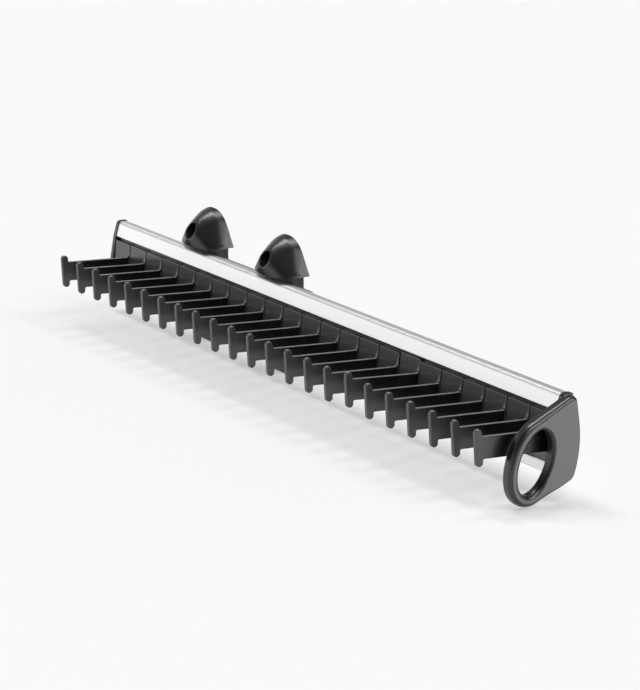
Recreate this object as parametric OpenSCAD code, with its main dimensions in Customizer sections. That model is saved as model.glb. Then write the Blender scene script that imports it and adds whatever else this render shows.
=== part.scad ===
// Sliding tie rack for the side wall of a wardrobe.
// Two wall brackets hold a short carrier rail. A long rack profile with a row of
// clip-in hooks runs on that rail and is drawn out by the ring on its front cap.
// X runs along the rack towards the ring, Y into the wall, Z up. The origin lies on
// the wall, midway between the two bracket screw holes and level with them.

/* [Rack] */
// Number of hooks in the row
hook_count = 23; // [12:1:30]
// Spacing of the hooks along the rack
hook_pitch = 20; // [18:0.5:24]
// Distance from the wall to the front of the hook plates, level with the arms
rack_offset = 18; // [18:0.25:21]
// Height of the wall screws above the arms
rack_drop = 30.4; // [30:0.2:34]
// Length of the rack behind the middle of the brackets, as photographed
rear_reach = 134.8; // [110:0.1:180]
// Free gap between parts that slide on each other
slide_gap = 0.3; // [0.2:0.05:0.4]

/* [Hooks] */
// Height of a hook plate above its arm
plate_up = 7.8; // [6:0.1:9]
// Height of a hook plate below the arm's top
plate_down = 20.9; // [19:0.1:22.5]
// Thickness of a hook plate
plate_t = 2.4; // [2:0.1:2.8]
// Gap between two neighbouring hook plates
plate_gap = 0.6; // [0.2:0.05:1]
// Backward lean of the hook plates, degrees
plate_lean = 6.3; // [3:0.1:8]
// Corner radius of a hook plate
plate_r = 1.5; // [0.5:0.1:3]
// Distance from an arm's middle to its plate's free edge
arm_inset = 1.7; // [1.4:0.05:4]
// Thickness of an arm
arm_t = 2.4; // [1.8:0.1:2.8]
// Height of an arm
arm_h = 11.5; // [8:0.1:14]
// Reach of an arm from its plate to the end bar
arm_l = 40.9; // [30:0.1:60]
// Upward pitch of an arm, degrees
arm_pitch = 3.1; // [0:0.1:6]
// Width of the upright end bar
bar_w = 4.1; // [3:0.1:6]
// Height of the upright end bar
bar_h = 19.4; // [16:0.1:26]
// Outward lean of the end bar, degrees
bar_lean = 3.6; // [0:0.1:6]
// Radius of the fillet where an arm's top meets its plate
root_r = 2; // [0.5:0.1:5]
// Radius of the fillet where an arm's side meets its plate
web_r = 2; // [0.5:0.1:3]
// Which hook sits a little proud in the channel
proud_hook = 17; // [1:1:23]
// Lift of the hook that sits proud
proud_lift = 0.9; // [0:0.1:0.9]

/* [Profile] */
// Wall thickness of the aluminium profile
skin_t = 1.4; // [1.2:0.05:1.6]
// Height of the bright face, along its slope
face_h = 7; // [6.5:0.1:12]
// Backward lean of the bright face, degrees
face_lean = 16; // [12:0.5:18]
// Height of the dark groove below the bright face
groove_h = 2.1; // [0.6:0.1:2.4]
// Outer radius of the profile's top front edge
top_r = 2.6; // [2.2:0.1:3.6]
// Depth of the profile behind the hook plates' front face
profile_d = 9; // [9:0.1:10]
// Height of the lower lip that holds the plates' feet
lip_h = 5.5; // [4:0.1:7]
// Height of the slot in the profile's back
slot_h = 21.5; // [18:0.5:24]
// Height of the slot's upper edge above the arms
slot_top = 9; // [8:0.1:10]

/* [Carrier] */
// Length of the carrier rail
rail_l = 142; // [125:1:180]
// Length of the carrier rail behind the middle of the brackets
rail_rear = 60.3; // [60:0.1:64]
// Thickness of the carrier rail's walls
rail_t = 1.4; // [1.2:0.05:1.6]
// Height of the rail's upper edge above the arms
rail_top = 18.2; // [17:0.1:19]
// Height of the rail's back plate
rail_h = 38; // [34:0.5:40]
// Width of each running flange
flange_w = 8.2; // [6:0.1:8.6]
// Length of a glide pad along the rail
glide_l = 14; // [8:0.5:20]
// Thickness of a glide's end bridge
glide_end = 2.5; // [1.5:0.1:4]
// Thickness of a rubber stop
stop_t = 3; // [2:0.1:5]

/* [Brackets] */
// Distance between the two bracket screw holes
bracket_span = 85; // [76:1:100]
// Radius of a wall screw hole
screw_r = 2.3; // [1.8:0.1:2.8]
// Radius of the bore that takes the screw head and driver
access_r = 4.6; // [3.6:0.1:5]
// Thickness of the seat under the screw head
seat_t = 3; // [2:0.1:5]
// Wall around the access bore
boss_t = 1.1; // [0.9:0.1:2]
// Width of the dome at its base
dome_w = 47; // [42:0.5:52]
// Depth of the dome at its base
dome_d = 16; // [14:0.1:17]
// Distance of the screw opening's middle from the wall
nose_d = 15.8; // [14:0.1:17]
// Height of the dome above the screws
dome_up = 12.4; // [11.5:0.1:14]
// Height of the dome below the screws, at the wall
dome_down = 7.4; // [7:0.1:8.5]
// Wall thickness of the bracket moulding
mould_t = 2.2; // [1.8:0.1:2.6]
// Width of the block below the dome
block_w = 34.6; // [32:0.2:40]
// Height of the block
block_h = 38; // [34:0.5:42]
// Width of the leg below the block
leg_w = 22; // [16:0.5:26]
// Depth of the leg's foot below the wall screws
foot_down = 67; // [60:0.5:70]
// Distance between the two rail screws of a bracket
rail_screw_span = 20; // [14:0.5:24]
// Shank radius of a rail screw
rail_screw_r = 1.5; // [1.2:0.05:1.8]
// Head radius of a rail screw
rail_head_r = 3; // [2.6:0.1:3.6]

/* [Caps] */
// Thickness of the rear end cap
rear_cap_t = 2; // [1:0.1:3]
// Length of the profile behind the last hook plate
rear_margin = 0.3; // [0.2:0.1:3]
// Length of the profile in front of the last hook plate
front_margin = 2.4; // [0.5:0.1:4]
// Length of the caps' plugs inside the profile
plug_l = 8; // [5:0.5:14]
// Depth of the collar behind the pull plate
collar_l = 1.6; // [1:0.1:5]
// Wall of the collar around the profile's outline
collar_t = 0.5; // [0.3:0.1:1.2]
// Thickness of the pull plate
pull_t = 4; // [3.5:0.1:6]
// Bevel around the front of the pull plate
pull_bevel = 1.2; // [0.8:0.1:2]
// Half of the finger hole's long axis
hole_a = 17; // [12:0.1:18]
// Half of the finger hole's short axis
hole_b = 9; // [8:0.1:11]
// Backward lean of the finger hole, degrees
hole_lean = 20.5; // [10:0.5:25]
// Distance of the finger hole's middle in front of the hook plates
hole_out = 15.2; // [13:0.1:18]
// Depth of the finger hole's middle below the arms
hole_low = 13.3; // [11:0.1:16]
// Radius of the ring's round section
ring_r = 3.3; // [3:0.1:4]
// Height of the pull plate's top corner above the arms
pull_top = 18.6; // [15:0.1:20]
// Depth of the pull plate's lowest back corner below the arms
pull_low = 26.4; // [22:0.1:28]
// Distance of the plate's back corners behind the hook plates' front
pull_back = 9; // [7:0.1:10]
// Bulge of the plate's back edge between its corners
pull_bulge = 4.2; // [2:0.1:6]

/* [Hidden] */
$fn = 64;
eps = 0.01;
rack_l = rear_margin + hook_count * hook_pitch + front_margin;
rack_x = -rear_reach;
plate_w = hook_pitch - plate_gap;

// places in the rack's section, as [distance behind the plates' front, height above the arms]
face_foot = plate_point([0.2, plate_up + groove_h]);
top_c = face_point([top_r, face_h]);
top_z = top_c.y + top_r;
plate_play = 0.4;
web_y = plate_t + plate_play;
pocket_h = 1.9;
pocket_z = face_foot.y + pocket_h;
shelf_z = pocket_z + skin_t;
lip_gap = 0.2;
lip_t = 1.2;
floor_z = -plate_down;
lip_top = floor_z + lip_h - skin_t;
bottom_z = plate_point([web_y + skin_t, floor_z - skin_t]).y;
tongue_t = 0.5;
tongue_h = groove_h + 0.6;
tongue_side = max(0, plate_gap - 0.3) / 2;
// the proud hook tilts until its tongue meets the back of the channel
proud_tilt = asin(plate_play / (plate_down + plate_up + tongue_h));
slot_low = slot_top - slot_h;

// the carrier rail's section
lip_inner_y = profile_d - skin_t;
flange_y = lip_inner_y - slide_gap - rail_t;
plate_y = profile_d + slide_gap;
neck_top = slot_top - slide_gap - 0.1;
neck_low = slot_low + slide_gap + 0.1;
flange_top = neck_top - rail_t + flange_w;
flange_low = neck_low + rail_t - flange_w;
glide_top = top_z - skin_t - slide_gap - 0.05;
glide_low = bottom_z + skin_t + slide_gap;
rail_x = -rail_rear;
rail_screw_z = (neck_top + neck_low) / 2;
pad_proud = 0.8;
pad_bevel = 1.1;

// the brackets
block_d = rack_offset - plate_y - rail_t;
base_slope = 5;
rail_screw_l = rail_t + block_d - 1.5;
recess_w = 3.2;
recess_t = 0.6;
recess_d = 0.8;
nose_tilt = 27;
// thickness of the flat slices that shape the dome, and the fullness of its base
slice_t = 0.3;
base_round = 0.9;
// the dome's upright arches: depth, drop below the top, radius and half spread
dome_arches = [[0, 0.2, 18, 1.2], [4, 1.4, 15, 1], [8, 4, 11.5, 0.5]];

// the caps and stops
plug_gap = 0.2;
stop_inset = 2;
hole_c = [-hole_out, -hole_low];
ring_lap = 1;
pull_top_r = 2.5;
pull_low_r = 3;

function hook_name(i) = str("hook_", i < 10 ? "0" : "", i);

// a point of a plane that leans back by a degrees, in upright section places
function lean_point(p, a) = [p.x * cos(a) + p.y * sin(a), p.y * cos(a) - p.x * sin(a)];

function plate_point(p) = lean_point(p, plate_lean);

function face_point(p) = face_foot + lean_point(p, face_lean);

// how far back the leaning plates' plane at depth d, or the face's, is at height z
function plate_x(d, z) = (d + z * sin(plate_lean)) / cos(plate_lean);

function face_x(d, z) = face_foot.x + (d + (z - face_foot.y) * sin(face_lean)) / cos(face_lean);

function ellipse(a, b, lean, n) =
    [for (i = [0:n - 1]) let (t = 360 * i / n) lean_point([b * cos(t), a * sin(t)], lean)];

// lifts a flat section into the rack's place, drawn out along X
module along_rack(x, length) {
    translate([x, -rack_offset, -rack_drop]) rotate([90, 0, 90]) linear_extrude(length) children();
}

// the same for a solid that is drawn in section places
module at_rack() {
    translate([0, -rack_offset, -rack_drop]) children();
}

// Brackets: a helmet-shaped dome over a ribbed block, with a leg down to a foot.

module dome_form(inset) {
    half_w = dome_w / 2 - inset;
    difference() {
        hull() {
            for (s = dome_arches) translate([0, -s[0] * (1 - inset / dome_d), 0]) rotate([90, 0, 0])
                linear_extrude(slice_t) for (side = [-1, 1])
                    translate([side * s[3], dome_up - s[1] - s[2]]) circle(s[2] - inset, $fn = 72);
            translate([0, -nose_d, 0]) rotate([90 - nose_tilt, 0, 0]) translate([0, 0, -inset - 1])
                cylinder(r = access_r + boss_t - inset, h = 1, $fn = 48);
            translate([0, 0, -dome_down]) rotate([base_slope, 0, 0]) linear_extrude(slice_t)
                polygon([for (t = [0:5:180])
                    [half_w * cos(t), -(dome_d - inset) * pow(sin(t), base_round)]]);
        }
        translate([0, 0, -dome_down]) rotate([base_slope, 0, 0]) translate([0, 0, -dome_d])
            cube([2 * dome_w, 4 * dome_d, 2 * dome_d], center = true);
    }
}

module bracket(x) {
    block_top = -dome_down;
    block_low = block_top - block_h;
    color("#222224") translate([x, 0, 0]) difference() {
        union() {
            difference() {
                dome_form(0);
                translate([0, eps, 0]) dome_form(mould_t);
            }
            intersection() {
                dome_form(0);
                rotate([90, 0, 0]) cylinder(r = access_r + boss_t, h = nose_d + access_r);
            }
            translate([-block_w / 2, -block_d, block_low]) cube([block_w, block_d, block_h + 2]);
            translate([-leg_w / 2, -block_d, -foot_down])
                cube([leg_w, block_d, foot_down + block_low + eps]);
        }
        translate([0, eps, 0]) rotate([90, 0, 0]) cylinder(r = screw_r, h = nose_d);
        translate([0, -seat_t, 0]) rotate([90, 0, 0]) cylinder(r = access_r, h = nose_d + access_r);
        bracket_cores(block_low, block_top);
        for (side = [-1, 1])
            translate([side * rail_screw_span / 2, -block_d - eps, rail_screw_z - rack_drop])
                rotate([-90, 0, 0]) cylinder(r = rail_screw_r + 0.05, h = rail_screw_l - rail_t + 0.5);
    }
}

// hollows in a bracket's back, between its outer walls and its middle ribs
module bracket_cores(block_low, block_top) {
    depth = block_d - mould_t;
    boss_w = rail_screw_span + 2 * rail_screw_r + 2 * mould_t;
    side_w = (block_w - boss_w) / 2 - mould_t;
    middle_w = rail_screw_span - 2 * rail_screw_r - 2 * mould_t;
    for (side = [-1, 1])
        translate([side > 0 ? boss_w / 2 : -boss_w / 2 - side_w, -depth, block_low + mould_t])
            cube([side_w, depth + eps, block_h - 2 * mould_t]);
    translate([-middle_w / 2, -depth, block_low + mould_t])
        cube([middle_w, depth + eps, block_h - 2 * mould_t]);
    translate([-leg_w / 2 + mould_t, -depth, -foot_down + mould_t])
        cube([leg_w - 2 * mould_t, depth + eps, foot_down + block_low - mould_t]);
}

// Carrier rail: a back plate with two stepped flanges that run inside the profile.

module rail_section() {
    translate([plate_y, rail_top - rail_h]) square([rail_t, rail_h]);
    translate([flange_y, neck_top - rail_t]) square([plate_y + eps - flange_y, rail_t]);
    translate([flange_y, neck_low]) square([plate_y + eps - flange_y, rail_t]);
    translate([flange_y, neck_top - rail_t]) square([rail_t, flange_w]);
    translate([flange_y, flange_low]) square([rail_t, flange_w]);
}

module carrier_rail() {
    color("#b9bbbd") difference() {
        along_rack(rail_x, rail_l) rail_section();
        rail_screw_places() {
            cylinder(r = rail_screw_r + 0.1, h = 3 * rail_t, center = true);
            translate([0, 0, -eps]) cylinder(r1 = rail_head_r + 0.1, r2 = rail_screw_r + 0.1, h = rail_t);
        }
    }
}

// repeats its children at each rail screw, with Z pointing into the wall from the rail's front
module rail_screw_places() {
    for (bracket_side = [-1, 1], side = [-1, 1])
        translate([bracket_side * bracket_span / 2 + side * rail_screw_span / 2,
                   plate_y - rack_offset, rail_screw_z - rack_drop])
            rotate([-90, 0, 0]) children();
}

module rail_screws() {
    color("#8d8f92") rail_screw_places() difference() {
        union() {
            cylinder(r1 = rail_head_r, r2 = rail_screw_r, h = rail_t - 0.1);
            cylinder(r = rail_screw_r, h = rail_screw_l);
        }
        for (turn = [0, 90]) rotate(turn)
            translate([-recess_w / 2, -recess_t / 2, -eps]) cube([recess_w, recess_t, recess_d]);
    }
}

// a glide closes one end of the rail and caps both flange tips
module glide(x, forward) {
    back_y = lip_inner_y - slide_gap;
    front_top = flange_y - pad_proud;
    front_low = plate_x(web_y + skin_t, flange_low) + slide_gap;
    foot_low = plate_x(web_y + skin_t, glide_low) + slide_gap;
    pad_top = [[front_top, flange_top], [back_y, flange_top], [back_y, glide_top],
               [front_top + pad_bevel, glide_top], [front_top, glide_top - pad_bevel]];
    pad_low = [[front_low, flange_low], [foot_low, glide_low], [back_y, glide_low], [back_y, flange_low]];
    end = [[front_top, flange_top], [flange_y, flange_top], [flange_y, flange_low],
           [front_low, flange_low], [foot_low, glide_low], [back_y, glide_low], [back_y, glide_top],
           [front_top + pad_bevel, glide_top], [front_top, glide_top - pad_bevel]];
    color("#e8e6df") {
        along_rack(forward ? x : x - glide_end, glide_end) polygon(end);
        along_rack(forward ? x - glide_l : x - eps, glide_l + eps) polygon(pad_top);
        along_rack(forward ? x - glide_l : x - eps, glide_l + eps) polygon(pad_low);
    }
}

// Rack profile: bright sloping face, rounded top, a channel for the hook plates in
// front and a slotted channel for the carrier rail behind.

// outline without the rounded top edge, whose place a chord takes
function profile_outline() = [
    face_foot, face_point([0, face_h]), [top_c.x, top_z], [profile_d, top_z], [profile_d, bottom_z],
    [plate_x(web_y, bottom_z), bottom_z], plate_point([-lip_gap - lip_t, floor_z - skin_t]),
    plate_point([-lip_gap - lip_t, lip_top])];

// channel that runs on the carrier rail
function rail_channel() = [
    [face_x(skin_t, shelf_z), shelf_z], face_point([skin_t, face_h]), [top_c.x, top_z - skin_t],
    [lip_inner_y, top_z - skin_t], [lip_inner_y, bottom_z + skin_t],
    [plate_x(web_y + skin_t, bottom_z + skin_t), bottom_z + skin_t],
    [plate_x(web_y + skin_t, shelf_z), shelf_z]];

// channel that takes the hook plates, open in front between the bright face and the lip
function plate_channel() = [
    face_point([-rack_offset, 0]), face_point([skin_t, 0]), [face_x(skin_t, pocket_z), pocket_z],
    [plate_x(web_y, pocket_z), pocket_z], plate_point([web_y, floor_z]),
    plate_point([-lip_gap, floor_z]), plate_point([-lip_gap, lip_top]),
    plate_point([-rack_offset, lip_top])];

module rack_profile() {
    cut_x = rack_x - 1;
    cut_l = rack_l + 2;
    color("#e9eaec") difference() {
        union() {
            along_rack(rack_x, rack_l) translate(top_c) circle(top_r);
            along_rack(rack_x, rack_l) polygon(profile_outline());
        }
        along_rack(cut_x, cut_l) translate(top_c) circle(top_r - skin_t);
        along_rack(cut_x, cut_l) polygon(rail_channel());
        along_rack(cut_x, cut_l) polygon(plate_channel());
        along_rack(cut_x, cut_l) translate([lip_inner_y - eps, slot_low]) square([skin_t + 1, slot_h]);
    }
}

// Hooks: a plate with a tongue above, an arm at its front edge and an upright bar at the tip.

module hook_arm_outline() {
    rotate(-arm_pitch) {
        translate([-arm_l - bar_w / 2, -arm_h]) square([arm_l + bar_w / 2 + 2, arm_h]);
        translate([-arm_l - bar_w / 2, -arm_h / 2]) rotate(arm_pitch + bar_lean) {
            for (end = [-1, 1]) translate([0, end * (bar_h - bar_w) / 2]) circle(bar_w / 2);
            translate([-bar_w / 2, -(bar_h - bar_w) / 2]) square([bar_w, bar_h - bar_w]);
        }
        translate([-root_r, -eps]) difference() {
            square(root_r + 1);
            translate([0, root_r]) circle(root_r);
        }
    }
}

module hook(i) {
    proud = i == proud_hook ? 1 : 0;
    foot = plate_point([0, -plate_down]);
    lift = plate_point([0, proud * proud_lift]);
    color("#1d1d1f")
        translate([rack_x + rear_margin + i * hook_pitch - plate_gap / 2 - arm_inset, 0, 0]) at_rack()
            translate([0, foot.x + lift.x, foot.y + lift.y]) rotate([-proud * proud_tilt, 0, 0])
                translate([0, -foot.x, -foot.y]) hook_form();
}

// one hook, with the middle of its arm at x = 0
module hook_form() {
    rotate([-plate_lean, 0, 0]) {
        translate([0, plate_t, 0]) rotate([90, 0, 0]) linear_extrude(plate_t) hook_plate_outline();
        translate([arm_inset - plate_w - tongue_side, plate_t - tongue_t, plate_up - 2 * plate_r])
            cube([plate_w + 2 * tongue_side, tongue_t, tongue_h + 2 * plate_r]);
    }
    intersection() {
        translate([-arm_t / 2, 0, 0]) rotate([90, 0, 90]) linear_extrude(arm_t) hook_arm_outline();
        rotate([-plate_lean, 0, 0])
            translate([-arm_t, -2 * arm_l, -2 * bar_h]) cube([2 * arm_t, 2 * arm_l + plate_t, 4 * bar_h]);
    }
    hook_web();
}

module hook_plate_outline() {
    difference() {
        translate([arm_inset - plate_w, -plate_down]) square([plate_w, plate_down + plate_up]);
        translate([arm_inset - plate_r, plate_up - plate_r]) difference() {
            square(plate_r + eps);
            circle(plate_r);
        }
    }
}

// round fillet between an arm's rear side and its plate
module hook_web() {
    rotate([-plate_lean, 0, 0]) translate([-arm_t / 2 - web_r, -web_r, -arm_h]) difference() {
        cube([web_r + eps, web_r + eps, arm_h]);
        translate([0, 0, -eps]) cylinder(r = web_r, h = arm_h + 2 * eps);
    }
}

// Caps: a plain one behind and one with the finger ring in front, each with a plug.

// filled outline of the rack, widened by grow
module rack_outline(grow) {
    hull() {
        translate(top_c) circle(top_r + grow, $fn = 48);
        for (p = [face_foot, plate_point([-lip_gap - lip_t, lip_top]),
                  plate_point([-lip_gap - lip_t, floor_z - skin_t]), [profile_d, bottom_z],
                  [profile_d, top_z]])
            translate(p) circle(max(grow, eps), $fn = 24);
    }
}

module plug_section() {
    translate([flange_y, slot_low]) square([lip_inner_y - plug_gap - flange_y, glide_top - slot_low]);
}

module rear_end_cap() {
    color("#1b1b1d") {
        along_rack(rack_x - rear_cap_t, rear_cap_t) rack_outline(0);
        along_rack(rack_x - eps, plug_l + eps) plug_section();
    }
}

// outline of the pull plate: the ring's ellipse drawn out to a bulged back edge
module pull_outline(inset) {
    mid = (pull_top - pull_low) / 2;
    half = (pull_top + pull_low) / 2 - pull_top_r;
    rim = 2 * ring_r - ring_lap - inset;
    hull() {
        translate(hole_c) polygon(ellipse(hole_a + rim, hole_b + rim, hole_lean, 72));
        translate([pull_back - pull_top_r, pull_top - pull_top_r]) circle(pull_top_r - inset, $fn = 32);
        translate([pull_back - pull_low_r, pull_low_r - pull_low]) circle(pull_low_r - inset, $fn = 32);
        polygon([for (t = [-1:0.125:1]) [pull_back - inset + pull_bulge * (1 - t * t), mid + half * t]]);
    }
}

// the ring's tube, swept along its ellipse
module ring_tube(x) {
    n = 56;
    m = 14;
    a = hole_a + ring_r;
    b = hole_b + ring_r;
    points = [for (i = [0:n - 1], j = [0:m - 1])
        let (t = 360 * i / n, s = 360 * j / m,
             normal = [a * cos(t), b * sin(t)] / norm([a * cos(t), b * sin(t)]),
             p = lean_point([b * cos(t), a * sin(t)] + ring_r * cos(s) * normal, hole_lean))
        [x + ring_r * sin(s), p.x + hole_c.x, p.y + hole_c.y]];
    faces = [for (i = [0:n - 1], j = [0:m - 1])
        let (i2 = (i + 1) % n, j2 = (j + 1) % m) [i * m + j, i * m + j2, i2 * m + j2, i2 * m + j]];
    at_rack() polyhedron(points, faces, convexity = 6);
}

module pull_ring_cap() {
    front_x = rack_x + rack_l;
    plate_x = front_x + collar_l;
    color("#232325") {
        difference() {
            union() {
                along_rack(front_x, collar_l + eps) rack_outline(collar_t);
                hull() {
                    along_rack(plate_x, pull_t - pull_bevel) pull_outline(0);
                    along_rack(plate_x + pull_t - 0.2, 0.2) pull_outline(pull_bevel);
                }
            }
            along_rack(plate_x - eps, pull_t + 2 * eps)
                translate(hole_c) polygon(ellipse(hole_a + ring_r, hole_b + ring_r, hole_lean, 72));
        }
        ring_tube(plate_x + pull_t / 2);
        along_rack(front_x - plug_l, plug_l + eps) plug_section();
    }
}

// Stops: rubber blocks on the plugs' inner ends.

module stop_block(x) {
    color("#2b2b2b") along_rack(x, stop_t)
        translate([flange_y, slot_low + stop_inset])
            square([lip_inner_y - plug_gap - flange_y, slot_h - 2 * stop_inset]);
}

bracket(-bracket_span / 2);  // rear_bracket
bracket(bracket_span / 2);  // front_bracket
carrier_rail();
glide(rail_x, false);  // rear_glide
glide(rail_x + rail_l, true);  // front_glide
rail_screws();
rack_profile();
for (i = [1:hook_count])
    hook(i);
rear_end_cap();
pull_ring_cap();
stop_block(rack_x + plug_l);  // rear_stop
stop_block(rack_x + rack_l - plug_l - stop_t);  // front_stop
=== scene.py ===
from math import atan2, cos, hypot, pi, radians, sin, tan

import bmesh
import bpy
from mathutils import Matrix, Vector
from mathutils.bvhtree import BVHTree
from mathutils.geometry import convex_hull_2d, intersect_line_line_2d


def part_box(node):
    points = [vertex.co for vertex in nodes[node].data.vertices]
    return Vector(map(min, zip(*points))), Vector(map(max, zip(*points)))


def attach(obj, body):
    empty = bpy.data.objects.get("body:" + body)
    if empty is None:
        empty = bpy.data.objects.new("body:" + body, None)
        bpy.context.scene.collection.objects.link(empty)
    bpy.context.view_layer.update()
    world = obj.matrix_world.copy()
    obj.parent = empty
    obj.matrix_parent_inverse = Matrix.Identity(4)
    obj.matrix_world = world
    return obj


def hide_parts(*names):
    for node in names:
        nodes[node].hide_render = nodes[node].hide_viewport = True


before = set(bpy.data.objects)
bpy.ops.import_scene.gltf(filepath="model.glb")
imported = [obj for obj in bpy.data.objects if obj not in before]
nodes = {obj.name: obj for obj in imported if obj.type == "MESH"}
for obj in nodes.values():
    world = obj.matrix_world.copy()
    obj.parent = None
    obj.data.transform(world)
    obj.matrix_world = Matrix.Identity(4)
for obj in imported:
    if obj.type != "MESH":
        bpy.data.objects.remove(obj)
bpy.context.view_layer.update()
mm = 0.001


# Wall brackets
# Two like mouldings in black nylon. Each has a helmet-shaped dome with a deep bore for the wall
# screw in its nose, a hollow block below it that carries the rail, and a leg down to a foot.
rear_box = [Vector(corner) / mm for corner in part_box("rear_bracket")]
front_box = [Vector(corner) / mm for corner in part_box("front_bracket")]
dome_half_w = (rear_box[1].x - rear_box[0].x) / 2
dome_d = 17.4
dome_down = 7.4
base_slope = radians(5)
nose_d = 15.8
nose_tilt = radians(27)
bore_r = 4.6
bore_break = 0.2
boss_r = 5.7
screw_r = 2.3
seat_t = 3.0
wall_t = 2.2
# upright arches of the dome: depth from the wall, top, radius and half spread
dome_arches = [(0, 12.2, 17.5, 1.2), (4, 11.1, 15, 0.9), (8, 8.8, 12, 0.6), (11, 6.9, 9.2, 0.3)]
arch_steps = 72
nose_steps = 48
upper_columns = 84
lower_columns = 60
skin_steps = 24


def base_height(y):
    """The height of the dome's sloping underside."""
    return -dome_down + y * tan(base_slope)


def dome_hull():
    """The dome's taut form, drawn over the arches, the nose and the brim."""
    hull = bmesh.new()
    for depth, top, radius, spread in dome_arches:
        for side in (-1, 1):
            for k in range(arch_steps + 1):
                a = 2 * pi * k / arch_steps
                z = top - radius + radius * sin(a)
                if z > base_height(-depth):
                    hull.verts.new((side * spread + radius * cos(a), -depth, z))
    for k in range(nose_steps):
        a = 2 * pi * k / nose_steps
        z = boss_r * sin(a) * cos(nose_tilt)
        hull.verts.new((boss_r * cos(a), -nose_d + z * tan(nose_tilt), z))
    for k in range(arch_steps + 1):
        a = pi * k / arch_steps
        y = -dome_d * sin(a)
        hull.verts.new((dome_half_w * cos(a), y, base_height(y)))
    bmesh.ops.convex_hull(hull, input=hull.verts)
    tree = BVHTree.FromBMesh(hull)
    hull.free()
    return tree


def relax(rows, shares, rounds):
    """Smooths the skin's reach by each column's share, less near the brim, and keeps its bulk."""
    last = len(rows) - 1
    for k in range(2 * rounds):
        pull = 0.5 if k % 2 == 0 else -0.51
        smoothed = [rows[0]]
        for i in range(1, last):
            row = rows[i]
            ease = min(1, 3 - 3 * i / last) ** 2
            around = [(rows[i - 1][j] + rows[i + 1][j] + row[j - 1] + row[(j + 1) % len(row)]) / 4
                      for j in range(len(row))]
            smoothed.append([here + pull * share * ease * (mean - here)
                             for here, share, mean in zip(row, shares, around)])
        rows = smoothed + [rows[-1]]
    return rows


def dome_loops():
    """Loops around the screw bore: over the skin to the brim, back inside it and down the boss."""
    tree = dome_hull()
    heart = Vector((0, -5, 0))
    margin = 1e-3
    brim = atan2(-dome_down, dome_half_w)
    turns = [brim + (pi - 2 * brim) * i / upper_columns for i in range(upper_columns)]
    turns += [pi - brim + (pi + 2 * brim) * i / lower_columns for i in range(lower_columns)]

    def ray(turn, tip):
        way = Vector((sin(tip) * cos(turn), -cos(tip), sin(tip) * sin(turn)))
        return way, tree.ray_cast(heart, way)[0]

    def tip_at_brim(turn, first):
        near, far = first, 0.97 * pi
        for _ in range(26):
            tip = (near + far) / 2
            hit = ray(turn, tip)[1]
            if hit.y < -margin and hit.z > base_height(hit.y) + margin:
                near = tip
            else:
                far = tip
        return near

    ways, reach = [], []
    for turn in turns:
        rim_y = -nose_d + bore_r * sin(turn) * tan(nose_tilt)
        first = atan2(bore_r, heart.y - rim_y)
        last = tip_at_brim(turn, first)
        column = [ray(turn, first + (last - first) * i / skin_steps) for i in range(skin_steps + 1)]
        ways.append([way for way, hit in column])
        reach.append([(hit - heart).length for way, hit in column])
    # only the upper half is relaxed, with a soft start at the brim's corners
    shares = [max(0, min(1, (sin(turn) + 0.1) / 0.3)) for turn in turns]
    reach = relax([list(row) for row in zip(*reach)], shares, 60)
    columns = range(len(turns))
    outer = [[heart + ways[j][i] * reach[i][j] for j in columns] for i in range(skin_steps + 1)]
    inner = [[heart + ways[j][i] * (reach[i][j] - wall_t) for j in columns]
             for i in range(skin_steps, -1, -1)]
    for p in [p for row in inner for p in row]:
        from_bore = hypot(p.x, p.z)
        if from_bore < boss_r:
            p.x, p.z = p.x * boss_r / from_bore, p.z * boss_r / from_bore
        p.y = min(p.y, 0)
    for p, brim_point in zip(inner[0], outer[-1]):
        if brim_point.y > -0.01:
            p.y = 0
        if brim_point.z < base_height(brim_point.y) + 0.01:
            p.z = base_height(p.y)
    bore = [[Vector((r * cos(turn), y, r * sin(turn))) for turn in turns]
            for r, y in ((boss_r, 0), (screw_r, 0), (screw_r, -seat_t + bore_break),
                         (screw_r + bore_break, -seat_t), (bore_r - bore_break / 2, -seat_t),
                         (bore_r, -seat_t - bore_break / 2))]
    return outer + inner + bore


def skin(name, loops, ends):
    """A mesh over loops of like count, in millimetres, shut by caps or joined first to last."""
    count = len(loops[0])
    form = bmesh.new()
    rings = [[form.verts.new(p * mm) for p in loop] for loop in loops]
    pairs = list(zip(rings, rings[1:]))
    if ends == "joined":
        pairs.append((rings[-1], rings[0]))
    for low, high in pairs:
        for j in range(count):
            k = (j + 1) % count
            form.faces.new((low[j], low[k], high[k], high[j]))
    if ends == "caps":
        form.faces.new(reversed(rings[0]))
        form.faces.new(rings[-1])
    bmesh.ops.remove_doubles(form, verts=form.verts, dist=1e-8)
    bmesh.ops.recalc_face_normals(form, faces=form.faces)
    mesh = bpy.data.meshes.new(name)
    form.to_mesh(mesh)
    form.free()
    return mesh


def turned(x, y, a):
    """A flat point turned counter-clockwise by an angle."""
    return x * cos(a) - y * sin(a), x * sin(a) + y * cos(a)


def rounded(corners):
    """An outline through (x, y, radius) corners, each turned with its own radius."""
    outline = []
    for k, (x, y, r) in enumerate(corners):
        p = Vector((x, y))
        back = (Vector(corners[k - 1][:2]) - p).normalized()
        ahead = (Vector(corners[(k + 1) % len(corners)][:2]) - p).normalized()
        turn = pi - back.angle(ahead)
        if r == 0 or turn < 0.02:
            outline.append(p)
            continue
        start = p + back * r * tan(turn / 2)
        centre = p + (back + ahead).normalized() * r / cos(turn / 2)
        side = 1 if back.x * ahead.y - back.y * ahead.x < 0 else -1
        steps = max(3, round(turn / radians(11)))
        outline += [centre + Vector(turned(*(start - centre), side * turn * i / steps))
                    for i in range(steps + 1)]
    return outline


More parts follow.
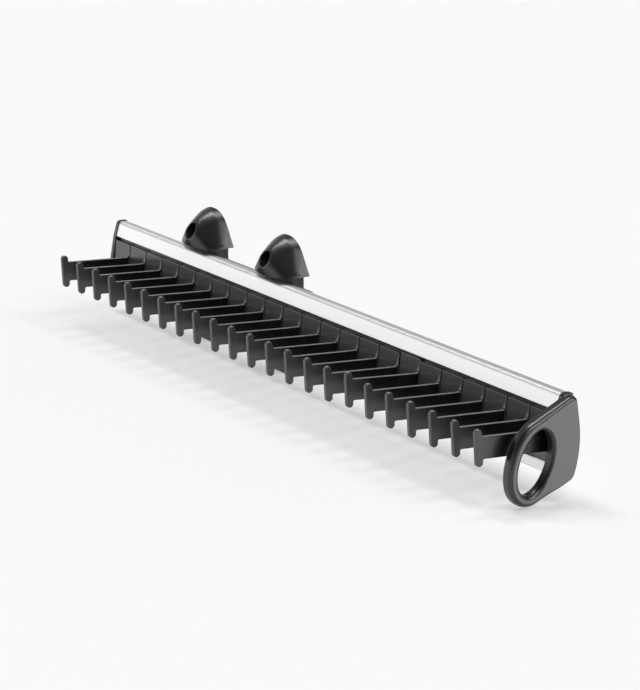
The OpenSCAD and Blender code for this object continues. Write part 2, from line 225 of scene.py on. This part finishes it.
def inset(outline, by):
    """The outline, counter-clockwise, drawn in by a small distance."""
    drawn = []
    for k, p in enumerate(outline):
        e1 = (p - outline[k - 1]).normalized()
        e2 = (outline[(k + 1) % len(outline)] - p).normalized()
        n1, n2 = Vector((-e1.y, e1.x)), Vector((-e2.y, e2.x))
        drawn.append(p + (n1 + n2) * by / max(1 + n1.dot(n2), 0.2))
    return drawn


def slab(name, outline, low, high, edge, place):
    """A plate from low to high with rounded edges; place turns (x, y, height) into a point."""
    rise = [(0, 1.5), (0, 1), (0.12, 0.5), (0.5, 0.12), (1, 0), (1.5, 0)]
    levels = [(low + up * edge, by * edge) for up, by in rise]
    levels += [(high - up * edge, by * edge) for up, by in reversed(rise)]
    return skin(name, [[place(p.x, p.y, w) for p in inset(outline, by)] for w, by in levels], "caps")


def fuse(name, shells, cutters=()):
    """One mesh out of several shells that reach into each other, less the cutters."""
    helpers = [bpy.data.objects.new(mesh.name, mesh) for mesh in (*shells, *cutters)]
    for helper in helpers:
        bpy.context.scene.collection.objects.link(helper)
    base = helpers[0]
    for k, helper in enumerate(helpers[1:], 1):
        joint = base.modifiers.new(helper.name, "BOOLEAN")
        joint.operation = "UNION" if k < len(shells) else "DIFFERENCE"
        joint.solver = "EXACT"
        joint.object = helper
    made = bpy.data.meshes.new_from_object(base.evaluated_get(bpy.context.evaluated_depsgraph_get()))
    made.name = name
    for helper in helpers:
        bpy.data.objects.remove(helper)
    return made


def block_of(name, low, high):
    """A plain block between two corners, in millimetres."""
    base = ((low[0], low[1]), (high[0], low[1]), (high[0], high[1]), (low[0], high[1]))
    return skin(name, [[Vector((x, y, z)) for x, y in base] for z in (low[2], high[2])], "caps")


def smooth(mesh, crease):
    """Shades a mesh smooth, except over edges sharper than the crease in degrees."""
    mesh.shade_smooth()
    mesh.set_sharp_from_angle(angle=radians(crease))


def fit_piece(name, mesh, body, material, node, place=Matrix()):
    """Puts a dressed piece in the place of a CAD node, on that node's body."""
    piece = bpy.data.objects.new(name, mesh)
    bpy.context.scene.collection.objects.link(piece)
    if not mesh.materials:
        mesh.materials.append(material)
    piece.matrix_world = place
    bpy.context.view_layer.update()
    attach(piece, body)
    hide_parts(node)


def set_inputs(tree, node, inputs):
    """Sets each input of a shader node, or links it where the value is another node's output."""
    for name, value in inputs.items():
        if isinstance(value, bpy.types.NodeSocket):
            tree.links.new(value, node.inputs[name])
        else:
            node.inputs[name].default_value = value


def add_node(tree, kind, inputs, output, **settings):
    """Adds a shader node and gives back one of its outputs."""
    node = tree.nodes.new("ShaderNode" + kind)
    for name, value in settings.items():
        setattr(node, name, value)
    set_inputs(tree, node, inputs)
    return node.outputs[output]


def new_material(name):
    """A new material, its node tree and its shader."""
    material = bpy.data.materials.new(name)
    material.use_nodes = True
    return material, material.node_tree, material.node_tree.nodes["Principled BSDF"]


def shade_between(tree, share, dark, pale):
    """A colour that runs between two stops, each a place on the scale and a colour."""
    ramp = tree.nodes.new("ShaderNodeValToRGB")
    for stop, (place, colour) in zip(ramp.color_ramp.elements, (dark, pale)):
        stop.position = place
        stop.color = (*colour, 1)
    tree.links.new(share, ramp.inputs["Fac"])
    return ramp.outputs["Color"]


def moulded_black(name, tone, gloss, grain):
    """Black moulded plastic: a fine spark-eroded grain, and slight clouds in tone and gloss."""
    material, tree, shader = new_material(name)
    where = add_node(tree, "TexCoord", {}, "Object")
    clouds = add_node(tree, "TexNoise", {"Vector": where, "Scale": 90, "Detail": 5}, "Fac")
    shade = shade_between(tree, clouds, (0.3, (tone * 0.85, tone * 0.85, tone * 0.88)),
                          (0.7, (tone * 1.15, tone * 1.15, tone * 1.2)))
    polish = add_node(tree, "MapRange", {"Value": clouds, "To Min": gloss - 0.04,
                                         "To Max": gloss + 0.04}, "Result")
    pits = add_node(tree, "TexNoise", {"Vector": where, "Scale": grain, "Detail": 3}, "Fac")
    bump = add_node(tree, "Bump", {"Height": pits, "Strength": 0.12, "Distance": 0.04 * mm}, "Normal")
    set_inputs(tree, shader, {"IOR": 1.5, "Specular IOR Level": 0.75, "Base Color": shade,
                              "Roughness": polish, "Normal": bump})
    return material


block_half_w = 17.3
block_d = 7.3
block_low = -45.4
block_top = -5.4
block_r = 1.0
shoulder_r = 0.9
leg_half_w = 11.0
leg_r = 1.2
foot_z = rear_box[0].z
side_pocket_x = 15.0
side_pocket_half_w = 0.35
middle_pocket_half_w = 6.3
pocket_back = -block_d + wall_t
pocket_top = -dome_down - wall_t
rib_count = 4
rib_pitch = 1.5
rib_gap = 0.6
rib_d = 0.35
rib_margin = 1.0
# how far a cutter reaches past the face that it opens
past = 1.0
bracket_outline = rounded([
    (-leg_half_w, foot_z, leg_r), (leg_half_w, foot_z, leg_r), (leg_half_w, block_low, block_r),
    (block_half_w, block_low, block_r), (block_half_w, block_top, shoulder_r),
    (-block_half_w, block_top, shoulder_r), (-block_half_w, block_low, block_r),
    (-leg_half_w, block_low, block_r)])
bracket_block = slab("bracket_block", bracket_outline, -block_d, 0, 0.5, lambda x, z, y: Vector((x, y, z)))
cutters = [block_of("side_pocket",
                    (side_pocket_x * side - side_pocket_half_w, pocket_back, block_low + wall_t),
                    (side_pocket_x * side + side_pocket_half_w, past, pocket_top)) for side in (-1, 1)]
cutters.append(block_of("middle_pocket", (-middle_pocket_half_w, pocket_back, block_low + wall_t),
                        (middle_pocket_half_w, past, pocket_top)))
cutters.append(block_of("leg_pocket", (wall_t - leg_half_w, pocket_back, foot_z + wall_t),
                        (leg_half_w - wall_t, past, block_low)))
for side in (-1, 1):
    for k in range(rib_count):
        rib_y = -block_d + rib_margin + rib_pitch * k
        faces = sorted((side * (block_half_w - rib_d), side * (block_half_w + past)))
        cutters.append(block_of("rib_gap", (faces[0], rib_y, block_low + 1.5 * rib_margin),
                                (faces[1], rib_y + rib_gap, base_height(rib_y) + 0.2)))
bracket_mesh = fuse("bracket_moulding", [skin("dome", dome_loops(), "joined"), bracket_block], cutters)
smooth(bracket_mesh, 32)
bracket_black = moulded_black("bracket_black", 0.004, 0.34, 2600)
for node, box in (("rear_bracket", rear_box), ("front_bracket", front_box)):
    middle = (box[0].x + box[1].x) / 2 * mm
    fit_piece(node + "_moulding", bracket_mesh, "wall_mount", bracket_black, node,
              Matrix.Translation((middle, 0, 0)))


# Carrier rail, its screws and its glides
# A folded aluminium channel screwed to both brackets by four countersunk steel screws. An acetal
# glide closes each of its ends and keeps the metal of the rack off the metal of the rail.
def drawn_metal(name, tone, gloss, lines):
    """Drawn metal: fine lines along X, left by the die, in tone, gloss and height."""
    material, tree, shader = new_material(name)
    where = add_node(tree, "TexCoord", {}, "Object")
    stretched = add_node(tree, "Mapping", {"Vector": where, "Scale": (2, lines, lines)}, "Vector")
    streaks = add_node(tree, "TexNoise", {"Vector": stretched, "Scale": 1, "Detail": 4}, "Fac")
    shade = shade_between(tree, streaks, (0.25, (tone * 0.97, tone * 0.97, tone * 0.975)),
                          (0.75, (tone * 1.02, tone * 1.02, tone * 1.02)))
    polish = add_node(tree, "MapRange", {"Value": streaks, "To Min": gloss - 0.05,
                                         "To Max": gloss + 0.05}, "Result")
    bump = add_node(tree, "Bump", {"Height": streaks, "Strength": 0.1, "Distance": 0.02 * mm}, "Normal")
    set_inputs(tree, shader, {"Metallic": 1, "Base Color": shade, "Roughness": polish, "Normal": bump})
    return material


def moulded_pale(name, colour, gloss):
    """Unpigmented acetal, faintly cloudy."""
    material, tree, shader = new_material(name)
    where = add_node(tree, "TexCoord", {}, "Object")
    clouds = add_node(tree, "TexNoise", {"Vector": where, "Scale": 300}, "Fac")
    shade = shade_between(tree, clouds, (0, [c * 0.93 for c in colour]), (1, colour))
    set_inputs(tree, shader, {"Base Color": shade, "Roughness": gloss})
    return material


rail_anodised = drawn_metal("rail_anodised", 0.62, 0.34, 5200)
zinc_plate = drawn_metal("zinc_plate", 0.55, 0.3, 1500)
acetal = moulded_pale("acetal", (0.8, 0.78, 0.72), 0.35)
for node, finish in (("carrier_rail", rail_anodised), ("rail_screws", zinc_plate), ("rear_glide", acetal),
                     ("front_glide", acetal)):
    nodes[node].material_slots[0].material = finish


# Rack profile
# One length of extruded aluminium, silver anodised. It has a bright sloping face over a groove,
# a channel in front that takes the hook plates and a slotted channel behind that runs on the rail.
wall_to_plates = 18.0
arms_below_screws = 30.4
plate_lean = radians(6.3)
plate_up = 7.8
plate_down = 20.9
plate_t = 2.4
plate_play = 0.4
groove_h = 2.1
face_h = 7.0
face_lean = radians(16)
face_setback = 0.2
skin_t = 1.4
profile_d = 9.0
pocket_h = 1.9
slot_top = 9.0
slot_h = 21.5
lip_gap = 0.2
lip_t = 1.2
lip_h = 5.5
# radii of the section's corners, from the broad top to the finest inner ones
top_r = 2.6
heel_r = 0.8
outer_r = 0.6
lip_r = 0.5
inner_r = 0.4
fine_r = 0.3


def leaned(x, y, lean):
    """A flat point turned clockwise by a lean."""
    return turned(x, y, -lean)


def at_rack(x, s, h):
    """A point from its place along X, behind the plates' front and above the arms."""
    return Vector((x, s - wall_to_plates, h - arms_below_screws))


def across_rack(s, h, x):
    """The same point, for a plate that lies across the rack."""
    return at_rack(x, s, h)


web_y = plate_t + plate_play
slot_low = slot_top - slot_h
floor_z = -plate_down
lip_top = floor_z + lip_h - skin_t
lip_outer = -lip_gap - lip_t
lip_inner = profile_d - skin_t
face_foot = leaned(face_setback, plate_up + groove_h, plate_lean)


def on_face(d, height):
    """A point at a depth behind the bright face and a height up it."""
    x, y = leaned(d, height, face_lean)
    return face_foot[0] + x, face_foot[1] + y


def face_x(d, height):
    """How far back a line parallel to the face lies at a height above the arms."""
    return face_foot[0] + (d + (height - face_foot[1]) * sin(face_lean)) / cos(face_lean)


def plates_x(d, height):
    """How far back a line parallel to the plates lies at a height above the arms."""
    return (d + height * sin(plate_lean)) / cos(plate_lean)


def held(outline):
    """The outline with a point close to both ends of each long straight run, so that it shades flat."""
    points = []
    for k, p in enumerate(outline):
        points.append(p)
        run = outline[(k + 1) % len(outline)] - p
        if run.length > 1:
            points += [p + run.normalized() * 0.1, p + run.normalized() * (run.length - 0.1)]
    return points


pocket_z = face_foot[1] + pocket_h
shelf_z = pocket_z + skin_t
top_z = on_face(top_r, face_h)[1] + top_r
inner_top = top_z - skin_t
bottom_z = leaned(web_y + skin_t, floor_z - skin_t, plate_lean)[1]
inner_bottom = bottom_z + skin_t
profile_section = held(rounded([
    (*face_foot, fine_r), (*on_face(skin_t, 0), 0.2), (face_x(skin_t, pocket_z), pocket_z, fine_r),
    (plates_x(web_y, pocket_z), pocket_z, fine_r), (*leaned(web_y, floor_z, plate_lean), fine_r),
    (*leaned(-lip_gap, floor_z, plate_lean), fine_r), (*leaned(-lip_gap, lip_top, plate_lean), 0.35),
    (*leaned(lip_outer, lip_top, plate_lean), lip_r),
    (*leaned(lip_outer, floor_z - skin_t, plate_lean), heel_r),
    (plates_x(web_y, bottom_z), bottom_z, outer_r), (profile_d, bottom_z, lip_r),
    (profile_d, slot_low, fine_r), (lip_inner, slot_low, fine_r), (lip_inner, inner_bottom, inner_r),
    (plates_x(web_y + skin_t, inner_bottom), inner_bottom, inner_r),
    (plates_x(web_y + skin_t, shelf_z), shelf_z, fine_r), (face_x(skin_t, shelf_z), shelf_z, fine_r),
    (face_x(skin_t, inner_top), inner_top, top_r - skin_t), (lip_inner, inner_top, inner_r),
    (lip_inner, slot_top, fine_r), (profile_d, slot_top, fine_r), (profile_d, top_z, outer_r),
    (face_x(0, top_z), top_z, top_r)]))
rack_rear, rack_front = [corner.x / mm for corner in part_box("rack_profile")]
profile_mesh = skin("profile", [[at_rack(x, p.x, p.y) for p in profile_section]
                                for x in (rack_rear, rack_front)], "caps")
smooth(profile_mesh, 25)
bright_anodised = drawn_metal("bright_anodised", 0.84, 0.45, 4200)
fit_piece("rack_extrusion", profile_mesh, "rack", bright_anodised, "rack_profile")


# Hooks
# Each hook is one black moulding: a plate that stands in the profile's front channel, an arm on
# the plate's edge and an upright bar that keeps a tie from sliding off the arm's end.
hook_pitch = 20.0
hook_count = 23
hook_edge = 0.4
plate_gap = 0.6
plate_w = hook_pitch - plate_gap
plate_r = 0.7
plate_top_r = 1.5
arm_inset = 1.7
arm_t = 2.4
arm_h = 11.5
arm_l = 40.9
arm_pitch = radians(3.1)
bar_w = 4.1
bar_h = 19.4
bar_lean = radians(3.6)
bar_r = 2.0
bar_foot_r = 0.8
# the arm's root: the fillet over it, and how deep its foot, its tab and its skin go into the plate
root_r = 2.0
foot_in = 0.6
tab_in = 2.0
skin_in = 0.3
web_r = 2.0
web_bite = 0.04
tongue_t = 0.5
tongue_side = 0.15
tongue_down = 2.0
tongue_up = plate_up + groove_h + 0.6
# one hook stands a little out of its channel
proud_hook = 17
proud_lift = 0.9
proud_tilt = radians(-0.74)


def on_plate(x, z, y):
    """A point on the hook from its place across, up and behind the plate's front."""
    s, h = leaned(y, z, plate_lean)
    return at_rack(x, s, h)


def arc(x, y, r, first, steps, skip=0):
    """A quarter turn of points around a middle, counter-clockwise from an angle."""
    angles = [first + pi / 2 * k / steps for k in range(skip, steps + 1)]
    return [Vector((x + r * cos(a), y + r * sin(a))) for a in angles]


def arm_outline():
    """The side of the arm and its bar, from the arm's foot up its root and around the bar."""
    tilt = arm_pitch + bar_lean
    middle = Vector((-arm_l - bar_w / 2, -arm_h / 2))
    side, end = bar_w / 2, bar_h / 2
    meet_top = (arm_h / 2 - side * sin(tilt)) / cos(tilt)
    meet_low = (-arm_h / 2 - side * sin(tilt)) / cos(tilt)
    bar = [(side, meet_top, bar_foot_r), (side, end, bar_r), (-side, end, bar_r), (-side, -end, bar_r),
           (side, -end, bar_r), (side, meet_low, bar_foot_r)]
    corners = [(foot_in, -arm_h, 0), (tab_in, root_r + skin_in, 0), (skin_in, root_r + skin_in, 0),
               (0, 0, root_r * 0.98)]
    corners += [(*(middle + Vector(turned(x, y, tilt))), r) for x, y, r in bar]
    return [Vector(leaned(*p, arm_pitch)) for p in rounded(corners)]


plate_left = arm_inset - plate_w
plate_outline = rounded([(plate_left, -plate_down, plate_r), (arm_inset, -plate_down, plate_r),
                         (arm_inset, plate_up, plate_top_r), (plate_left, plate_up, plate_r)])
web_outline = arc(-arm_t / 2 - web_r, -web_r, web_r + web_bite, 0, 8)[::-1]
web_outline += [Vector((-arm_t / 4, -web_r)), Vector((-arm_t / 4, plate_t / 4)),
                Vector((-arm_t / 2 - web_r, plate_t / 4))]
tongue_outline = [Vector((plate_left - tongue_side, plate_up - tongue_down)),
                  Vector((arm_inset + tongue_side, plate_up - tongue_down)),
                  Vector((arm_inset + tongue_side, tongue_up)), Vector((plate_left - tongue_side, tongue_up))]
hook_mesh = fuse("hook", [
    slab("hook_plate", plate_outline, 0, plate_t, hook_edge, on_plate),
    slab("hook_arm", arm_outline(), -arm_t / 2, arm_t / 2, hook_edge, across_rack),
    skin("hook_web", [[on_plate(p.x, z, p.y) for p in web_outline] for z in (-arm_h, -hook_edge)], "caps"),
    slab("hook_tongue", tongue_outline, plate_t - tongue_t, plate_t, 0.1, on_plate)])
smooth(hook_mesh, 40)


def etched_or_painted_light(material, tone, kind, axis, none, full):
    """Gives a tone, an etched finish or painted light and shade, to the part of a moulding where its place or
    its normal runs from none to full.
    """
    tree = material.node_tree
    shader = tree.nodes["Principled BSDF"]
    before = shader.inputs["Base Color"].links[0].from_socket
    where = add_node(tree, "TexCoord", {}, kind)
    along = add_node(tree, "SeparateXYZ", {"Vector": where}, axis)
    share = add_node(tree, "MapRange", {"Value": along, "From Min": none, "From Max": full}, "Result")
    after = add_node(tree, "Mix", {"Factor": share, "A": before, "B": (tone, tone, tone * 1.03, 1)},
                     "Result", data_type="RGBA")
    set_inputs(tree, shader, {"Base Color": after})


# the arm's sides are plain black; the rest of the hook's tone is painted light and shade: lighter on faces
# that look to the front, lighter towards the arm's end and over the bar, a painted highlight on top, and
# painted shade over the plate's top and the tongue
hook_black = moulded_black("hook_black", 0.004, 0.24, 3200)
# where the painted shade in the groove begins, just under the plate's top
painted_gap_shade_from = (plate_up - 0.4 - arms_below_screws) * mm
# painted light: a lighter tone on faces that look to the front, for the light that falls on the plates'
# fronts
etched_or_painted_light(hook_black, 0.055, "Normal", "Y", -0.85, -0.95)
# painted light: lighter towards the arm's end and over the bar, where less shade from the next arm falls
etched_or_painted_light(hook_black, 0.04, "Object", "Y", -47 * mm, -59.5 * mm)
# painted highlight on the faces that look up: the tops of the arm and the bar
etched_or_painted_light(hook_black, 0.17, "Normal", "Z", 0.7, 0.97)
# painted shade, near black, over the plate's top and the tongue, for the dark gap of the groove
etched_or_painted_light(hook_black, 0.002, "Object", "Z", painted_gap_shade_from, painted_gap_shade_from + 0.2 * mm)
for k in range(1, hook_count + 1):
    node = "hook_%02d" % k
    arm_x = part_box(node)[1].x - (arm_inset + tongue_side) * mm
    place = Matrix.Translation((arm_x, 0, 0))
    if k == proud_hook:
        foot = on_plate(0, -plate_down, 0) * mm
        rise = Vector((0, sin(plate_lean), cos(plate_lean))) * proud_lift * mm
        place = (Matrix.Translation((arm_x, foot.y, foot.z)) @ Matrix.Translation(rise)
                 @ Matrix.Rotation(proud_tilt, 4, "X") @ Matrix.Translation((0, -foot.y, -foot.z)))
    fit_piece(node + "_moulding", hook_mesh, "rack", hook_black, node, place)


# End caps
# A thin black cap shuts the rear end. The front cap carries the finger ring: a flat pull plate
# that widens from the profile's end into a thick rounded ring, all one moulding.
plug_l = 8.0
plug_front = 5.9
plug_back = lip_inner - 0.2
plug_top = inner_top - 0.35
# the caps stand a little over the profile's skin and lap its ends
lap_t = 0.45
lap_l = 1.3
cap_edge = 0.4
plug_edge = 0.3
plug = [Vector((plug_front, slot_low)), Vector((plug_back, slot_low)), Vector((plug_back, plug_top)),
        Vector((plug_front, plug_top))]
cap_outline = rounded([(*face_foot, heel_r), (*leaned(lip_outer, lip_top, plate_lean), heel_r),
                       (*leaned(lip_outer, floor_z - skin_t, plate_lean), heel_r),
                       (profile_d, bottom_z, outer_r), (profile_d, top_z, outer_r),
                       (face_x(0, top_z), top_z, top_r)])
lap_outline = inset(cap_outline, -lap_t)


def seat(name, first, last):
    """The room that the profile's end takes in a cap."""
    return skin(name, [[at_rack(x, p.x, p.y) for p in cap_outline] for x in (first, last)], "caps")


# the pull's flat face and the crest of its ring are etched, the rest is polished
cap_black = moulded_black("cap_black", 0.004, 0.3, 3000)
etched_or_painted_light(cap_black, 0.13, "Normal", "X", 0.93, 0.999)
cap_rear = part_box("rear_end_cap")[0].x / mm
rear_lap = fuse("rear_lap", [
    slab("rear_cap_plate", lap_outline, cap_rear, rack_rear + lap_l, cap_edge, across_rack)],
    [seat("rear_seat", rack_rear, rack_rear + lap_l + past)])
rear_cap_mesh = fuse("rear_cap", [
    rear_lap, slab("rear_cap_plug", plug, rack_rear - past, rack_rear + plug_l, plug_edge, across_rack)])
smooth(rear_cap_mesh, 35)
fit_piece("rear_end_cap_moulding", rear_cap_mesh, "rack", cap_black, "rear_end_cap")

# the finger hole's half axes, lean and middle, and the ring around it
hole_a = 17.0
hole_b = 9.0
hole_lean = radians(20.5)
hole_middle = Vector((-15.2, -13.3))
hole_back_r = 1.0
hole_roll_cut = 1.2
ring_half_w = 3.0
ring_half_d = 3.3
# the plate behind the ring: its corner rounds as (x, y, radius), its back edge and its recess
face_corners = [(6.6, 15.8, 2.4), (5.4, -23.5, 1.8)]
back_edge_s = 8.1
back_edge_bulge = 3.2
back_edge_mid = -3.6
back_edge_half = 19.4
pull_back_r = 0.6
pull_lip = 2.3
pull_recess = 1.3
recess_slope = 0.3
# the roll of the plate's front edge, broader where it looks up, and where the ring blends into it
edge_roll_r = 1.1
top_roll_more = 1.5
blend_l = 6.0
edge_rolls = [0, 0.06, 0.15, 0.3, 0.5, 0.8, 1.2, 1.6, 2.0, 2.3, 2.6, 3.0]
roll_steps = 12
pull_columns = 360
pull_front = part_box("pull_ring_cap")[1].x / mm
pull_inside = pull_front - 2 * ring_half_d + pull_recess


def around_hole(a):
    """A point on the finger hole's rim and the way out of the hole there, before the hole leans."""
    return (Vector((hole_b * cos(a), hole_a * sin(a))),
            Vector((hole_a * cos(a), hole_b * sin(a))).normalized())


def pull_boundary(by):
    """The pull's outline drawn in by a distance: the taut line around ring, corners and back edge."""
    points = []
    for k in range(240):
        rim, out = around_hole(2 * pi * k / 240)
        points.append(hole_middle + Vector(leaned(*(rim + out * (2 * ring_half_w - by)), hole_lean)))
    for x, y, r in face_corners:
        r = max(r - by, 0.02)
        points += [Vector((x + r * cos(2 * pi * k / 64), y + r * sin(2 * pi * k / 64))) for k in range(64)]
    points += [Vector((back_edge_s - by + back_edge_bulge * (1 - (k / 24) ** 2),
                       back_edge_mid + (back_edge_half - by) * k / 24)) for k in range(-24, 25)]
    return [points[k] for k in convex_hull_2d(points)]


def reach_of(core, out, boundary):
    """How far a line from the ring's core runs to the boundary, and the boundary's way out there."""
    for j, p in enumerate(boundary):
        q = boundary[j - 1]
        hit = intersect_line_line_2d(core, core + out * 90, p, q)
        if hit:
            way = (p - q).normalized()
            way = Vector((way.y, -way.x))
            return (hit - core).length, way if way.dot(out) > 0 else -way
    return 0, out


def pull_section(reaches, upward):
    """Points around the pull's section: (outward from the ring's core, forward from its middle)."""
    w, d = ring_half_w, ring_half_d
    edge = reaches[0]
    flat = max(0, min(1, (edge - w) / blend_l))
    flat = flat * flat * (3 - 2 * flat)
    inner = w - hole_roll_cut * flat
    outer = w + (edge_roll_r + top_roll_more * upward - w) * flat
    lip = pull_lip + (w - pull_lip) * (1 - flat)
    deep = pull_recess * flat
    slope = recess_slope * flat
    down = 2 * d - inner - hole_back_r
    up = 2 * d - outer - pull_back_r

    def at_inset(by):
        k = max(j for j, level in enumerate(edge_rolls) if level <= by + 1e-9)
        if k == len(edge_rolls) - 1:
            return reaches[k]
        share = (by - edge_rolls[k]) / (edge_rolls[k + 1] - edge_rolls[k])
        return reaches[k] + (reaches[k + 1] - reaches[k]) * share

    section = arc(-w + inner, d - inner, inner, pi / 2, roll_steps)
    section += [Vector((-w, d - inner - down * k / 4)) for k in (1, 2, 3, 4)]
    section += arc(-w + hole_back_r, -d + hole_back_r, hole_back_r, pi, 5, 1)
    section += [Vector((-w + lip, -d)), Vector((-w + lip + slope, -d + deep)),
                Vector((edge - lip - slope, -d + deep)), Vector((edge - lip, -d))]
    section += arc(edge - pull_back_r, -d + pull_back_r, pull_back_r, -pi / 2, 4)
    section += [Vector((edge, -d + pull_back_r + up * k / 3)) for k in (1, 2)]
    section += [Vector((at_inset(outer * (1 - p.x)), d - outer * (1 - p.y)))
                for p in arc(0, 0, 1, 0, roll_steps)]
    front = section[-1].x
    section += [Vector((front + (-w + inner - front) * k / 8, d)) for k in range(1, 8)]
    return section


pull_loops = []
boundaries = [pull_boundary(by) for by in edge_rolls]
for k in range(pull_columns):
    rim, out = around_hole(2 * pi * k / pull_columns)
    core = hole_middle + Vector(leaned(*(rim + out * ring_half_w), hole_lean))
    out = Vector(leaned(*out, hole_lean))
    found = [reach_of(core, out, boundary) for boundary in boundaries]
    reaches = [max(reach, ring_half_w - by) for (reach, way), by in zip(found, edge_rolls)]
    upward = max(0, min(1, found[0][1].y * 1.6 - 0.3))
    pull_loops.append([at_rack(pull_front - ring_half_d + p.y, *(core + out * p.x))
                       for p in pull_section(reaches, upward)])
front_lap = fuse("front_lap", [
    slab("ring_collar", lap_outline, rack_front - lap_l, pull_inside + past, cap_edge, across_rack)],
    [seat("front_seat", rack_front - lap_l - 3 * past, rack_front)])
ring_cap_mesh = fuse("ring_cap", [
    skin("pull_ring", pull_loops, "joined"), front_lap,
    slab("ring_plug", plug, rack_front - plug_l, rack_front + past, plug_edge, across_rack)])
smooth(ring_cap_mesh, 35)
fit_piece("pull_ring_cap_moulding", ring_cap_mesh, "rack", cap_black, "pull_ring_cap")


# Stops
# A soft rubber block, glued to the inner end of each cap's plug. It meets the rail's glide and
# ends the travel.
rubber = moulded_black("rubber", 0.03, 0.75, 5000)
for node in ("rear_stop", "front_stop"):
    nodes[node].material_slots[0].material = rubber


# Table and light
# The rack stands on its brackets' feet on a white table. Two white cloth walls and five soft
# round lamps light it, and the camera stands where the photograph's stood.
table_half_w = 6.0
table_drop = 0.2 * mm
table_tone = (0.91, 0.91, 0.91, 1)
glow_share = 0.42
table_corners = [(x * table_half_w, y * table_half_w, 0) for x, y in ((-1, -1), (1, -1), (1, 1), (-1, 1))]
table = bpy.data.objects.new("table", bpy.data.meshes.new("table"))
table.data.from_pydata(table_corners, [], [(0, 1, 2, 3)])
table.location.z = foot_z * mm - table_drop
bpy.context.scene.collection.objects.link(table)
table_white, table_tree, table_shader = new_material("table_white")
set_inputs(table_tree, table_shader, {"Base Color": table_tone, "Roughness": 0.9, "Specular IOR Level": 0.1})
# the eye and the gloss see the table half lit from within, as on a light table, so shadows stay pale
rays = table_tree.nodes.new("ShaderNodeLightPath").outputs
seen = rays["Is Camera Ray"]
for ray in ("Is Glossy Ray", "Is Transmission Ray"):
    seen = add_node(table_tree, "Math", {0: seen, 1: rays[ray]}, "Value", operation="MAXIMUM")
share = add_node(table_tree, "Math", {0: seen, 1: glow_share}, "Value", operation="MULTIPLY")
glow = add_node(table_tree, "Emission", {"Color": table_tone}, "Emission")
surface = add_node(table_tree, "MixShader", {"Fac": share, 1: table_shader.outputs["BSDF"], 2: glow},
                   "Shader")
set_inputs(table_tree, table_tree.nodes["Material Output"], {"Surface": surface})
table.data.materials.append(table_white)

# the two walls stand left in front and right behind, with grey between them and dim cloth overhead
world = bpy.data.worlds.new("studio")
world.use_nodes = True
bpy.context.scene.world = world
studio = world.node_tree
walls_turn = radians(33)


def fall(source, first, last, level_first, level_last):
    """A soft step of brightness between two places."""
    return add_node(studio, "MapRange", {"Value": source, "From Min": first, "From Max": last,
                                         "To Min": level_first, "To Max": level_last},
                    "Result", interpolation_type="SMOOTHSTEP")


way = add_node(studio, "TexCoord", {}, "Generated")
along_walls = add_node(studio, "VectorMath", {0: way, 1: (cos(walls_turn), sin(walls_turn), 0)}, "Value",
                       operation="DOT_PRODUCT")
either_wall = add_node(studio, "Math", {0: along_walls}, "Value", operation="ABSOLUTE")
height = add_node(studio, "SeparateXYZ", {"Vector": way}, "Z")
cloth = add_node(studio, "Math", {0: fall(either_wall, 0.28, 0.88, 0.35, 1.6),
                                  1: fall(height, 0.15, 0.5, 1, 0.14)}, "Value", operation="MULTIPLY")
set_inputs(studio, studio.nodes["Background"], {"Color": (1, 1, 1, 1), "Strength": cloth})


def facing(turn, rise):
    """The way towards a turn around the rack and a rise above the table, both in degrees."""
    turn, rise = radians(turn), radians(rise)
    return Vector((cos(turn) * cos(rise), sin(turn) * cos(rise), sin(rise)))


def soft_lamp(name, turn, rise, level, spread):
    """A round soft lamp far off: the turn and rise it is seen at, its brightness and its width."""
    lamp = bpy.data.lights.new(name, "SUN")
    lamp.angle = radians(spread)
    lamp.energy = level * pi * sin(lamp.angle / 2) ** 2
    holder = bpy.data.objects.new(name, lamp)
    holder.rotation_euler = (-facing(turn, rise)).to_track_quat("-Z", "Y").to_euler()
    bpy.context.scene.collection.objects.link(holder)


soft_lamp("left_lamp", -167, 58, 15, 14)
soft_lamp("top_lamp", -172, 77, 7, 22)
soft_lamp("right_lamp", -14, 52, 6, 22)
soft_lamp("side_lamp", 22, 42, 7, 22)
soft_lamp("back_lamp", 119, 63, 8, 14)

camera_turn = 58.203
camera_rise = 14.779
camera_reach = 1.803418
camera_lens = 169.565
sensor_w = 36
sight_end = 30
aim = Vector((0.10609, -0.01809, -0.03602))
back = facing(camera_turn - 90, camera_rise)
right = facing(camera_turn, 0)
camera = bpy.data.objects.new("camera", bpy.data.cameras.new("camera"))
camera.matrix_world = Matrix((right, back.cross(right), back)).transposed().to_4x4()
camera.location = aim + back * camera_reach
camera.data.sensor_width = sensor_w
camera.data.lens = camera_lens
camera.data.clip_end = sight_end
bpy.context.scene.collection.objects.link(camera)
bpy.context.scene.camera = camera
bpy.context.scene.view_settings.view_transform = "Standard"
